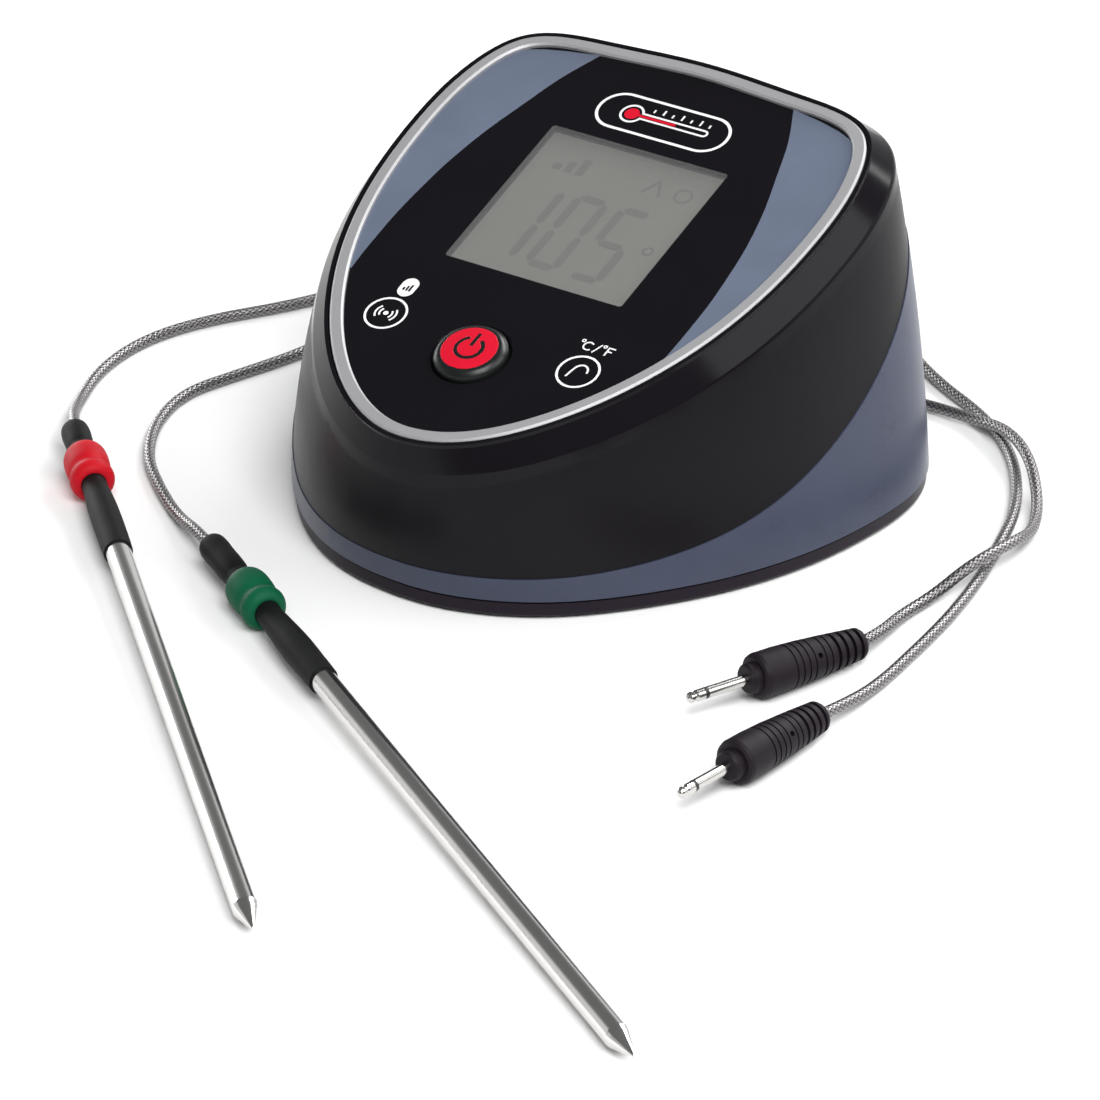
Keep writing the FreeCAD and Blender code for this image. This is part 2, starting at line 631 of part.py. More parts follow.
def plug_barrel():
    barrel = Part.makeCylinder(PLUG_PIN_R, 21.2, Vector(-11, 0, 0), Vector(1, 0, 0))
    return barrel.cut(Part.makeCylinder(0.55, 22, Vector(-11.5, 0, 0), Vector(1, 0, 0)))


def plug_insulator():
    collar = Part.makeCylinder(PLUG_PIN_R, 0.9, Vector(10.2, 0, 0), Vector(1, 0, 0))
    return collar.cut(Part.makeCylinder(0.55, 2, Vector(9.8, 0, 0), Vector(1, 0, 0)))


def plug_tip():
    return turned([(-10, 0), (-10, 0.5), (11.1, 0.5), (11.1, PLUG_PIN_R), (12.9, PLUG_PIN_R),
                   (13.3, 0.95), (13.6, 0.95), (14.0, 1.2), (14.6, 1.15), (15.0, 0.85),
                   (PLUG_PIN_L, 0.35), (PLUG_PIN_L, 0)])


def laid(shape, at, heading, drop):
    """Lays a shape made along +X on the table: turned to its heading, nose down by drop."""
    pitch = Rotation(Vector(0, 1, 0), drop)
    turn = Rotation(Vector(0, 0, 1), heading)
    shape.Placement = Placement(at, turn.multiply(pitch)).multiply(shape.Placement)
    return shape


def coil_solid(centre):
    """Outer shape of a wound length: three turns wide and two high."""
    width, height = 6 * CABLE_R, 4 * CABLE_R
    ring = Part.makeCylinder(COIL_MID_R + width / 2, height, Vector(*centre))
    ring = ring.cut(Part.makeCylinder(COIL_MID_R - width / 2, height, Vector(*centre)))
    rims = [e for e in ring.Edges if isinstance(e.Curve, Part.Circle)]
    return ring.makeFillet(CABLE_R * 0.9, rims)


LEADS = {
    "red": {
        "front": Vector(-57.7, -84.7, 0), "heading": -43.1,
        "sleeve": 58.0,
        "skin": [(-23.6, 3.16), (-18, 3.34), (-9, 3.36), (-3, 3.3), (0, 3.22)],
        "plug_rear": Vector(105, -59.4, PLUG_REAR_Z), "plug_heading": -96.7,
        "coil": (-70, 88, 0),
        "to_coil": [(-113.4, -27.6, 1.35), (-118.8, -12, 1.3), (-119.4, 5, 1.3),
                    (-112.6, 21, 1.3), (-101.5, 37, 1.3), (-93.5, 53, 1.3), (-88.3, 70, 1.3),
                    (-88.1, 86, 1.3)],
        "to_plug": [(-68, 106.1, 3.9), (-56, 106.6, 3.5), (-42, 109.4, 1.4), (-25, 114.5, 1.3),
                    (-6, 116.5, 1.3), (13, 111, 1.3), (29, 99.5, 1.3), (44, 88.8, 1.3),
                    (60.5, 81, 1.3), (73.5, 70.5, 1.3), (84, 57.5, 1.3), (91.3, 43.5, 1.3),
                    (95.5, 29, 1.3), (100.2, 13, 1.3), (103.4, -4, 1.3), (104.8, -21, 1.3),
                    (105.6, -37, 1.35), (106.2, -49.5, 2.7)]},
    "green": {
        "front": Vector(11.6, -105.4, 0), "heading": -32.0,
        "sleeve": 64.0,
        "skin": [(-25, 3.0), (-20.5, 3.24), (-15, 3.46), (-8, 3.4), (-3, 3.34), (0, 3.28)],
        "plug_rear": Vector(95.9, -28.4, PLUG_REAR_Z), "plug_heading": -110.5,
        "coil": (-8, 86, 0),
        "to_coil": [(-61.0, -59.8, 1.35), (-72.0, -51.5, 1.3),
                    (-83.5, -41, 1.3), (-92, -25.5, 1.3), (-95, -10.5, 1.3), (-90, 3.5, 1.3),
                    (-84.8, 18, 1.3), (-82.2, 34, 1.3), (-76.8, 50, 1.3), (-64, 62.3, 1.3),
                    (-46, 67.2, 1.3), (-27, 67.8, 1.3), (-10, 67.9, 1.3)],
        "to_plug": [(-6, 67.9, 3.9), (6, 68.3, 3.7), (19, 71.0, 1.5), (33, 76, 1.3),
                    (47.5, 78.2, 1.3), (61, 77.2, 1.9), (73, 71.5, 6.9), (84.5, 62.5, 6.9),
                    (93.5, 51, 1.8), (99.4, 38.5, 1.9), (101.4, 27.5, 6.9), (98.0, 13, 6.9),
                    (95.0, 1.5, 1.6), (94.4, -9.0, 1.6), (98.3, -21.9, 2.9)]},
}


def make_lead(colour, spec):
    """All pieces of one probe lead, saved under the lead's colour."""
    raise_at = RING_R / math.cos(math.radians(PROBE_DROP))
    front_z = raise_at - RING_BACK * math.sin(math.radians(PROBE_DROP))
    front = Vector(spec["front"].x, spec["front"].y, front_z)

    def place(shape):
        return laid(shape, front, spec["heading"], PROBE_DROP)

    for name, maker in (("needle", needle), ("sensor", sensor), ("ferrule", ferrule),
                        ("ring", indicator_ring)):
        save(colour + "_" + name, place(maker()))
    save(colour + "_sleeve", place(sleeve(spec["sleeve"], spec["skin"])))
    frame = place(Part.makeBox(1, 1, 1)).Placement
    cable_start = frame.multVec(Vector(CABLE_ROOT, 0, 0))
    cable_out = frame.multVec(Vector(-spec["sleeve"] - 6, 0, 0))
    note("%s cable leaves its sleeve through (%.1f, %.1f, %.1f)" % ((colour,) + tuple(cable_out)))

    heading = spec["plug_heading"]
    rear = spec["plug_rear"]
    ahead = Vector(math.cos(math.radians(heading)), math.sin(math.radians(heading)), 0)
    rise = math.tan(math.radians(PLUG_NOSE))
    mouth = rear + Vector(ahead.x, ahead.y, rise) * (PLUG_L * math.cos(math.radians(PLUG_NOSE)))
    for name, maker in (("plug_grip", plug_grip), ("plug_barrel", plug_barrel),
                        ("plug_insulator", plug_insulator), ("plug_tip", plug_tip)):
        save(colour + "_" + name, laid(maker(), mouth, heading, -PLUG_NOSE))

    route = [tuple(cable_start), tuple(cable_out)] + spec["to_coil"]
    probe_end, length_a = tube(colour + " cable, probe end", route, CABLE_R)
    plug_end, length_b = tube(colour + " cable, plug end",
                              spec["to_plug"] + [tuple(rear)], CABLE_R)
    save(colour + "_cable_probe_end", probe_end)
    save(colour + "_cable_plug_end", plug_end)
    save(colour + "_coil", coil_solid(spec["coil"]))
    note("%s tubes together %.0f mm" % (colour, length_a + length_b))


def main():
    outer = rounded_housing()
    inner = wall_loft(WALL, FOOT_TOP - 1, LEDGE_BOTTOM)
    save("lower_shell", lower_shell(wall_loft(-SEAM_STEP, FOOT_TOP, SHOULDER_W), inner))
    save("upper_shell", upper_shell(outer, inner))
    save("base_plate", base_plate())
    save("battery_door", battery_door())
    save("non_slip_pad", pad_shape(0, 1.0))
    save("rear_feet", foot_discs(5, 1.0))
    save("base_screws", base_screws())
    for k, y in enumerate(CELL_Y):
        save("battery_cell_%d" % (k + 1), cell(y))
    save("battery_springs", battery_springs())
    save("battery_contact", battery_contact())
    for name, maker in (("trim_ring", trim_ring), ("fascia_panel", fascia),
                        ("window_lens", window_lens), ("lcd_panel", lcd_panel),
                        ("backlight_panel", backlight_panel), ("lcd_holder", lcd_holder),
                        ("contact_strip", contact_strip), ("main_board", main_board),
                        ("board_screws", board_screws), ("board_chips", board_chips),
                        ("radio_module", radio_module), ("buzzer", buzzer),
                        ("board_plug", board_plug), ("touch_key_pads", touch_key_pads),
                        ("button_switch", button_switch), ("switch_plunger", switch_plunger),
                        ("power_button", power_button), ("jack_contacts", jack_contacts),
                        ("jack_board", jack_board), ("inner_leads", inner_leads)):
        save(name, maker())
    save("left_probe_jack", probe_jack(JACK_X[0]))
    save("right_probe_jack", probe_jack(JACK_X[1]))
    for colour, spec in LEADS.items():
        make_lead(colour, spec)


main()
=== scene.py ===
"""Looks for the two-probe grill thermometer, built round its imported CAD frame.  Metres, +Z up."""
import math

import bmesh
import bpy
from mathutils import Matrix, Vector


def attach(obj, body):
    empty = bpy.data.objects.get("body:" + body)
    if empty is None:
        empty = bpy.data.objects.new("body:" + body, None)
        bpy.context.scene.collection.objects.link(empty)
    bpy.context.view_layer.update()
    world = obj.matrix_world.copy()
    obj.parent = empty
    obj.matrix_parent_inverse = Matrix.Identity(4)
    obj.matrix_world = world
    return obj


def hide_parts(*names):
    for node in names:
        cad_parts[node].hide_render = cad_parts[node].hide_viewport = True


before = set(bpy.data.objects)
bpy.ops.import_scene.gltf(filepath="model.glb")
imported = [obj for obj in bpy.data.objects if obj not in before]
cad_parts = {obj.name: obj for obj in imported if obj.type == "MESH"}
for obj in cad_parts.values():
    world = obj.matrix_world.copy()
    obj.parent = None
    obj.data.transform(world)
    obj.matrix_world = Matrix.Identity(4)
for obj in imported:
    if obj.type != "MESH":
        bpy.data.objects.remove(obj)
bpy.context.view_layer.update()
MM = 0.001
TILT = math.radians(19.0)     # slope of the face
FACE_ORIGIN = Vector((0, 10.6, 63.3)) * MM     # middle of the display window

# ---------------------------------------------------------------- camera
VIEW_AZIMUTH, VIEW_ELEVATION = math.radians(33.98), math.radians(28.53)
VIEW_TARGET = Vector((0.01426, -0.02472, 0.0))
VIEW_DISTANCE = 1.5
VIEW_LENS = 225.8


def add_camera():
    data = bpy.data.cameras.new("camera")
    data.lens, data.sensor_width = VIEW_LENS, 36.0
    data.clip_start, data.clip_end = 0.05, 50.0
    camera = bpy.data.objects.new("camera", data)
    towards = Vector((math.sin(VIEW_AZIMUTH) * math.cos(VIEW_ELEVATION),
                      -math.cos(VIEW_AZIMUTH) * math.cos(VIEW_ELEVATION),
                      math.sin(VIEW_ELEVATION)))
    camera.location = VIEW_TARGET + towards * VIEW_DISTANCE
    camera.rotation_euler = towards.to_track_quat("Z", "Y").to_euler()
    bpy.context.scene.collection.objects.link(camera)
    bpy.context.scene.camera = camera


add_camera()


# ---------------------------------------------------------------- materials
class Shader:
    """One material: a Principled surface and short ways to feed it from procedural nodes."""

    def __init__(self, name, colour, roughness, metallic=0.0, specular=0.5, coat=0.0,
                 coat_roughness=0.1):
        self.material = bpy.data.materials.new(name)
        self.material.use_nodes = True
        self.tree = self.material.node_tree
        self.surface = self.tree.nodes["Principled BSDF"]
        self.set(self.surface, {"Base Color": (*colour, 1.0), "Roughness": roughness,
                                "Metallic": metallic, "Specular IOR Level": specular,
                                "Coat Weight": coat, "Coat Roughness": coat_roughness})
        self.colour, self.roughness = colour, roughness
        self.place = self.tree.nodes.new("ShaderNodeTexCoord").outputs["Object"]

    @staticmethod
    def set(node, values):
        for socket, value in values.items():
            node.inputs[socket].default_value = value

    def link(self, source, target):
        self.tree.links.new(source, target)

    def noise(self, scale, detail=2.0, roughness=0.5, stretch=None, turn=(0, 0, 0)):
        """Noise in the frame's coordinates; scale is features per metre, stretch is per axis."""
        texture = self.tree.nodes.new("ShaderNodeTexNoise")
        self.set(texture, {"Scale": scale, "Detail": detail, "Roughness": roughness})
        place = self.place
        if stretch:
            mapping = self.tree.nodes.new("ShaderNodeMapping")
            mapping.vector_type = "TEXTURE"
            mapping.inputs["Rotation"].default_value = turn
            mapping.inputs["Scale"].default_value = stretch
            self.link(place, mapping.inputs["Vector"])
            place = mapping.outputs["Vector"]
        self.link(place, texture.inputs["Vector"])
        return texture.outputs["Fac"]

    def math(self, operation, first, second=None, third=None):
        node = self.tree.nodes.new("ShaderNodeMath")
        node.operation = operation
        for socket, value in zip(node.inputs, (first, second, third)):
            if value is None:
                continue
            if isinstance(value, (int, float)):
                socket.default_value = value
            else:
                self.link(value, socket)
        return node.outputs[0]

    def ramp(self, factor, low, high, start=0.3, stop=0.7):
        """A colour that goes from low to high as the factor goes from start to stop."""
        node = self.tree.nodes.new("ShaderNodeValToRGB")
        for element, position, colour in zip(node.color_ramp.elements, (start, stop), (low, high)):
            element.position = position
            element.color = (*colour, 1.0)
        self.link(factor, node.inputs["Fac"])
        return node.outputs["Color"]

    def range(self, factor, low, high, start=0.3, stop=0.7):
        node = self.tree.nodes.new("ShaderNodeMapRange")
        for socket, value in zip(node.inputs[1:5], (start, stop, low, high)):
            socket.default_value = value
        self.link(factor, node.inputs["Value"])
        return node.outputs["Result"]

    def tint(self, factor, spread, start=0.3, stop=0.7):
        """Varies the base colour by plus or minus spread."""
        low = [c * (1 - spread) for c in self.colour]
        high = [c * (1 + spread) for c in self.colour]
        self.link(self.ramp(factor, low, high, start, stop), self.surface.inputs["Base Color"])
        return self

    def polish(self, factor, low, high):
        """Varies the roughness between low and high."""
        self.link(self.range(factor, low, high), self.surface.inputs["Roughness"])
        return self

    def bump(self, height, depth, strength=1.0):
        """Adds relief; depth is in metres."""
        node = self.tree.nodes.new("ShaderNodeBump")
        node.inputs["Strength"].default_value = strength
        node.inputs["Distance"].default_value = depth
        self.link(height, node.inputs["Height"])
        self.link(node.outputs["Normal"], self.surface.inputs["Normal"])
        return self


def moulded(name, colour, roughness, specular=0.5, grain=5200.0, depth=0.000008, spread=0.06,
            coat=0.0):
    """Moulded plastic or rubber: a fine grain, slight colour change and uneven gloss."""
    shader = Shader(name, colour, roughness, specular=specular, coat=coat)
    fine = shader.noise(grain, detail=3.0)
    broad = shader.noise(60.0, detail=4.0)
    shader.tint(broad, spread)
    mixed = shader.math("ADD", shader.math("MULTIPLY", fine, 0.4),
                        shader.math("MULTIPLY", broad, 0.6))
    shader.polish(mixed, max(0.02, roughness - 0.05), roughness + 0.06)
    shader.bump(fine, depth)
    return shader.material


def metal(name, colour, roughness, stretch, turn=(0, 0, 0), spread=0.05, depth=0.000006,
          scale=900.0, change=0.06, metallic=1.0):
    """Metal with fine lines along the direction that stretch leaves long."""
    shader = Shader(name, colour, roughness, metallic=metallic)
    lines = shader.noise(scale, detail=3.0, stretch=stretch, turn=turn)
    clouds = shader.noise(90.0, detail=3.0)
    shader.tint(shader.math("ADD", shader.math("MULTIPLY", lines, 0.6),
                            shader.math("MULTIPLY", clouds, 0.4)), spread)
    shader.polish(lines, max(0.02, roughness - change), roughness + change)
    shader.bump(lines, depth)
    return shader.material


BRAID_STRANDS = 8             # strands each way round the cable
BRAID_LAY = 0.0128            # length of cable in which a strand goes once round
UNDER = 0.5                   # height of a strand where it passes below


def braided_steel(name):
    """Woven steel wire.  The cable's UV map holds turns round it and metres along it."""
    shader = Shader(name, (0.30, 0.29, 0.29), 0.34, metallic=1.0)
    uv = shader.tree.nodes.new("ShaderNodeUVMap")
    uv.uv_map = "cable"
    split = shader.tree.nodes.new("ShaderNodeSeparateXYZ")
    shader.link(uv.outputs["UV"], split.inputs["Vector"])
    around = shader.math("MULTIPLY", split.outputs["X"], BRAID_STRANDS)
    along = shader.math("MULTIPLY", split.outputs["Y"], BRAID_STRANDS / BRAID_LAY)
    families = []
    for operation in ("ADD", "SUBTRACT"):
        phase = shader.math(operation, around, along)
        inside = shader.math("FRACT", phase)
        centred = shader.math("SUBTRACT", shader.math("MULTIPLY", inside, 2.0), 1.0)
        crown = shader.math("SUBTRACT", 1.0, shader.math("POWER", shader.math("ABSOLUTE", centred),
                                                         2.5))
        wires = shader.math("PINGPONG", shader.math("MULTIPLY", inside, 5.0), 0.5)
        families.append((shader.math("FLOOR", phase), crown, wires))
    (row_a, crown_a, wires_a), (row_b, crown_b, wires_b) = families
    over = shader.math("PINGPONG", shader.math("ADD", row_a, row_b), 1.0)
    lift_a = shader.math("MULTIPLY_ADD", over, 1 - UNDER, UNDER)
    lift_b = shader.math("MULTIPLY_ADD", over, UNDER - 1, 1.0)
    top = shader.math("MAXIMUM", shader.math("MULTIPLY", crown_a, lift_a),
                      shader.math("MULTIPLY", crown_b, lift_b))
    wires = shader.math("MAXIMUM", shader.math("MULTIPLY", wires_a, lift_a),
                        shader.math("MULTIPLY", wires_b, lift_b))
    # Painted shade: the base colour runs from near-black where the weave lies low to steel grey on
    # the crowns, darkening the hollows between wires and the strand passing under.
    shader.link(shader.ramp(top, (0.005, 0.0045, 0.005), (0.31, 0.30, 0.30), 0.36, 0.90),
                shader.surface.inputs["Base Color"])
    shader.link(shader.range(wires, 0.24, 0.38, 0.0, 0.5), shader.surface.inputs["Roughness"])
    shader.bump(shader.math("MULTIPLY_ADD", wires, 0.3, top), 0.0001)
    return shader.material


WALL_TOP = (0.0476, 0.0488)   # metres along the face's normal where satin turns to gloss


def shell_black(name):
    """Black shell: glossy on the shoulder under the face, a finer satin on the walls."""
    shader = Shader(name, (0.0058, 0.0050, 0.0066), 0.25, specular=0.12)
    split = shader.tree.nodes.new("ShaderNodeSeparateXYZ")
    shader.link(shader.place, split.inputs["Vector"])
    rise = shader.math("MULTIPLY", split.outputs["Z"], math.cos(TILT))
    out = shader.math("SUBTRACT", rise, shader.math("MULTIPLY", split.outputs["Y"],
                                                    math.sin(TILT)))
    broad = shader.noise(60.0, detail=4.0)
    satin = shader.range(out, 0.34, 0.11, *WALL_TOP)
    shader.link(shader.math("ADD", satin, shader.math("MULTIPLY", broad, 0.03)),
                shader.surface.inputs["Roughness"])
    shader.tint(broad, 0.06)
    shader.bump(shader.noise(5200.0, detail=3.0), 0.0000015)
    return shader.material


def lcd_glass(name):
    """Grey-green liquid-crystal glass with a fine fibre and broad changes in tone; its shading by
    the window's edge comes from the recess, not from this material.
    """
    shader = Shader(name, (0.090, 0.090, 0.080), 0.32, specular=0.2)
    fibre = shader.noise(2600.0, detail=4.0, roughness=0.7)
    broad = shader.noise(25.0, detail=2.0)
    shader.tint(shader.math("ADD", shader.math("MULTIPLY", fibre, 0.5),
                            shader.math("MULTIPLY", broad, 0.5)), 0.07)
    shader.bump(fibre, 0.000004)
    return shader.material


def clear_window(name):
    shader = Shader(name, (1.0, 1.0, 1.0), 0.03, specular=0.3)
    shader.surface.inputs["Alpha"].default_value = 0.05
    haze = shader.noise(40.0)
    shader.link(shader.range(haze, 0.02, 0.06), shader.surface.inputs["Roughness"])
    return shader.material


BLACK = shell_black("black_gloss")
SLATE = moulded("slate_gloss", (0.044, 0.052, 0.083), 0.30, specular=0.20, depth=0.000003)
TINT = moulded("slate_print", (0.112, 0.134, 0.186), 0.22, specular=0.2, depth=0.000002)
FASCIA = moulded("fascia_gloss", (0.0050, 0.0044, 0.0062), 0.12, specular=0.17, depth=0.000001)
FOOT = moulded("foot_plastic", (0.0100, 0.0062, 0.0115), 0.42, specular=0.15)
RUBBER = moulded("dark_rubber", (0.018, 0.018, 0.019), 0.62, specular=0.35, depth=0.00002)
BUTTON = moulded("button_rubber", (0.008, 0.0095, 0.0095), 0.30, specular=0.30, depth=0.000006)
SYMBOL_RED = moulded("symbol_red", (0.56, 0.006, 0.024), 0.36, specular=0.16, depth=0.000003)
PRINT = moulded("white_print", (0.78, 0.78, 0.79), 0.45, specular=0.3, depth=0.000002)
SLEEVE = moulded("sleeve_black", (0.0040, 0.0045, 0.0043), 0.60, specular=0.14, grain=2600.0,
                 depth=0.00003, spread=0.2)
RED = moulded("red_silicone", (0.48, 0.006, 0.014), 0.55, specular=0.12, grain=1500.0,
              depth=0.00003, spread=0.12)
GREEN = moulded("green_silicone", (0.0020, 0.084, 0.037), 0.55, specular=0.12, grain=1500.0,
                depth=0.00003, spread=0.12)
PLUG = moulded("plug_black", (0.0092, 0.0062, 0.0094), 0.54, specular=0.18, grain=2400.0,
               depth=0.00003, spread=0.2)
INSULATOR = moulded("insulator", (0.010, 0.010, 0.010), 0.4)
DARK = moulded("dark_plastic", (0.020, 0.020, 0.022), 0.45)
PALE = moulded("pale_plastic", (0.62, 0.62, 0.60), 0.5)
BOARD = moulded("board", (0.010, 0.095, 0.035), 0.35)
CELL = moulded("cell_jacket", (0.035, 0.05, 0.15), 0.28, coat=0.3)
WIRE = moulded("lead_wire", (0.35, 0.015, 0.015), 0.4)
BEAD = moulded("sensor_bead", (0.33, 0.28, 0.20), 0.6)
TRIM = metal("satin_metal", (0.39, 0.39, 0.40), 0.50, (0.03, 1.0, 1.0), spread=0.05, scale=2600.0,
             metallic=0.5)
STEEL = metal("steel", (0.72, 0.71, 0.70), 0.17, (1.0, 0.02, 1.0), turn=(0, 0, math.radians(45)),
              change=0.03, depth=0.000002)
NICKEL = metal("nickel", (0.60, 0.59, 0.57), 0.17, (1.0, 0.05, 1.0), change=0.03, depth=0.000002)
BRAID = braided_steel("braid")
LCD = lcd_glass("lcd_glass")
WINDOW = clear_window("window")
SEGMENT = moulded("lcd_segment", (0.057, 0.057, 0.051), 0.35, specular=0.2, depth=0.000001)

DRESS = {
    "upper_shell": BLACK, "lower_shell": SLATE, "base_plate": FOOT, "battery_door": FOOT,
    "non_slip_pad": RUBBER, "rear_feet": RUBBER, "base_screws": NICKEL,
    "battery_cell_1": CELL, "battery_cell_2": CELL, "battery_springs": NICKEL,
    "battery_contact": NICKEL, "trim_ring": TRIM, "fascia_panel": FASCIA,
    "window_lens": WINDOW, "lcd_panel": LCD, "backlight_panel": PALE, "lcd_holder": PALE,
    "contact_strip": RUBBER, "main_board": BOARD, "board_screws": NICKEL, "board_chips": DARK,
    "radio_module": TRIM, "buzzer": DARK, "board_plug": PALE, "touch_key_pads": RUBBER,
    "button_switch": DARK, "jack_contacts": NICKEL, "jack_board": BOARD, "inner_leads": WIRE,
    "left_probe_jack": DARK, "right_probe_jack": DARK, "power_button": BUTTON,
    "switch_plunger": DARK,
    "red_ring": RED, "green_ring": GREEN,
}
for colour_name in ("red", "green"):
    for part, material in (("needle", STEEL), ("sensor", BEAD), ("ferrule", NICKEL),
                           ("sleeve", SLEEVE), ("plug_grip", PLUG), ("plug_barrel", NICKEL),
                           ("plug_insulator", INSULATOR), ("plug_tip", NICKEL)):
        DRESS[colour_name + "_" + part] = material
for node_name, material in DRESS.items():
    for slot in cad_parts[node_name].material_slots:
        slot.material = material


# ---------------------------------------------------------------- meshes
def new_piece(name, mesh, body, material):
    piece = bpy.data.objects.new(name, mesh)
    bpy.context.scene.collection.objects.link(piece)
    piece.data.materials.append(material)
    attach(piece, body)
    return piece


def piece_from(mesh, name, body, material):
    data = bpy.data.meshes.new(name)
    mesh.to_mesh(data)
    mesh.free()
    return new_piece(name, data, body, material)


# ---------------------------------------------------------------- cords
CABLE_D = 2.6 * MM
COIL_PITCH = 2.6
COIL_OUTER = 18.1
COIL_LOW, COIL_HIGH = 1.3, 3.9
INWARD_TURNS, CLIMB_TURNS, OUTWARD_FROM = 2.0, 0.9, 3.0     # counted in turns from the start
POINTS_PER_TURN = 16


def coil_points(centre, start, turns, clockwise):
    """Two turns inwards on the table, a turn that climbs, and turns outwards on top."""
    points = []
    # The spline passes inside its control points, so they stand this much further out.
    reach = 1 / (0.75 + 0.25 * math.cos(2 * math.pi / POINTS_PER_TURN))
    count = round(turns * POINTS_PER_TURN)
    for k in range(count + 1):
        turn = k / POINTS_PER_TURN
        wound_in = COIL_OUTER - COIL_PITCH * min(turn, INWARD_TURNS)
        radius = min(COIL_OUTER, wound_in + COIL_PITCH * max(0.0, turn - OUTWARD_FROM))
        climb = min(1.0, max(0.0, (turn - INWARD_TURNS) / CLIMB_TURNS))
        angle = start + (-1 if clockwise else 1) * 2 * math.pi * turn
        points.append((centre[0] + radius * reach * math.cos(angle),
                       centre[1] + radius * reach * math.sin(angle),
                       COIL_LOW + (COIL_HIGH - COIL_LOW) * climb))
    return points


# Routes in millimetres, from inside the sleeve to the plug.  A coil is its centre, the angle
# where it starts, its turns and whether it winds clockwise.
LEADS = {
    "red": {
        "exit": (-100.0, -45.1, 5.25),
        "to_coil": [(-91.3, -53.3, 5.1), (-103.8, -41.4, 5.0), (-111.8, -28.2, 1.35),
                    (-117.8, -12.5, 1.3), (-118.4, 5, 1.3), (-112.6, 21, 1.3),
                    (-101.5, 37, 1.3), (-93.5, 53, 1.3), (-88.6, 70, 1.3)],
        "coil": ((-70, 88), math.pi, 6.25, True),
        "to_plug": [(-56, 106.6, 3.5), (-42, 109.4, 1.4), (-25, 114.5, 1.3),
                    (-6, 116.5, 1.3), (13, 111, 1.3), (29, 99.5, 1.3), (44, 88.8, 1.3),
                    (60.5, 80.6, 1.3), (73.5, 70.5, 1.3), (83.6, 57.5, 1.3), (91.0, 43.5, 1.3),
                    (95.5, 29, 1.3), (99.9, 13, 1.3), (103.0, -4, 1.3), (104.6, -21, 1.3),
                    (105.7, -37, 1.35), (106.2, -49.5, 3.1), (105.0, -59.4, 4.26)]},
    "green": {
        "exit": (-42.7, -71.5, 5.3),
        "to_coil": [(-27.4, -81.0, 5.1), (-46.7, -68.9, 5.1), (-60.6, -59.6, 1.35),
                    (-71.7, -51.2, 1.3), (-83.0, -41, 1.3), (-91.5, -26.5, 1.3),
                    (-94.8, -11.5, 1.3), (-90.2, 2.5, 1.3), (-84.8, 18, 1.3),
                    (-82.2, 34, 1.3), (-76.8, 50, 1.3), (-64, 62.3, 1.3), (-46, 67.2, 1.3),
                    (-27, 67.8, 1.3)],
        "coil": ((-8, 86), -math.pi / 2, 6.0, False),
        "to_plug": [(6, 68.3, 3.7), (19, 71.0, 1.5), (33, 76, 1.3), (47.5, 78.0, 1.3),
                    (60.5, 76.6, 1.9), (73, 71.2, 5.2), (84.3, 61.8, 5.2), (93.3, 50, 1.8),
                    (98.9, 38.0, 1.9), (100.7, 27.0, 5.2), (98.3, 13, 5.2), (95.5, 1.5, 1.6),
                    (94.2, -9.5, 1.6), (96.0, -20.5, 3.1), (95.9, -28.4, 4.26)]},
}


def route_line(points):
    """The smooth line of a NURBS spline with these control points, in millimetres."""
    curve = bpy.data.curves.new("route", "CURVE")
    curve.dimensions = "3D"
    spline = curve.splines.new("NURBS")
    spline.points.add(len(points) - 1)
    for point, place in zip(spline.points, points):
        point.co = (*(c * MM for c in place), 1.0)
    spline.order_u = 3
    spline.use_endpoint_u = True
    curve.resolution_u = 16
    holder = bpy.data.objects.new("route", curve)
    bpy.context.scene.collection.objects.link(holder)
    bpy.context.view_layer.update()
    mesh = bpy.data.meshes.new_from_object(holder)
    line = [v.co.copy() for v in mesh.vertices]
    bpy.data.objects.remove(holder)
    bpy.data.curves.remove(curve)
    bpy.data.meshes.remove(mesh)
    return line


def even_steps(line, step):
    """The line's points again, a step apart."""
    spaced = [line[0]]
    left = step
    for a, b in zip(line, line[1:]):
        length = (b - a).length
        done = 0.0
        while length - done >= left:
            done += left
            spaced.append(a.lerp(b, done / length))
            left = step
        left -= length - done
    if (spaced[-1] - line[-1]).length > step * 0.3:
        spaced.append(line[-1])
    return spaced


TUBE_SIDES = 32
TUBE_STEP = 0.0004
WEAVE_DEPTH = 0.00012


def weave_height(turns, metres):
    """The braid's relief, from 0 to 1, as the shader has it."""
    around, along = turns * BRAID_STRANDS, metres * BRAID_STRANDS / BRAID_LAY
    phases = (around + along, around - along)
    over = int(math.floor(phases[0]) + math.floor(phases[1])) % 2
    crowns = [1.0 - abs(2 * (phase % 1.0) - 1) ** 2.5 for phase in phases]
    lifts = (1.0, UNDER) if over else (UNDER, 1.0)
    return max(crown * lift for crown, lift in zip(crowns, lifts))


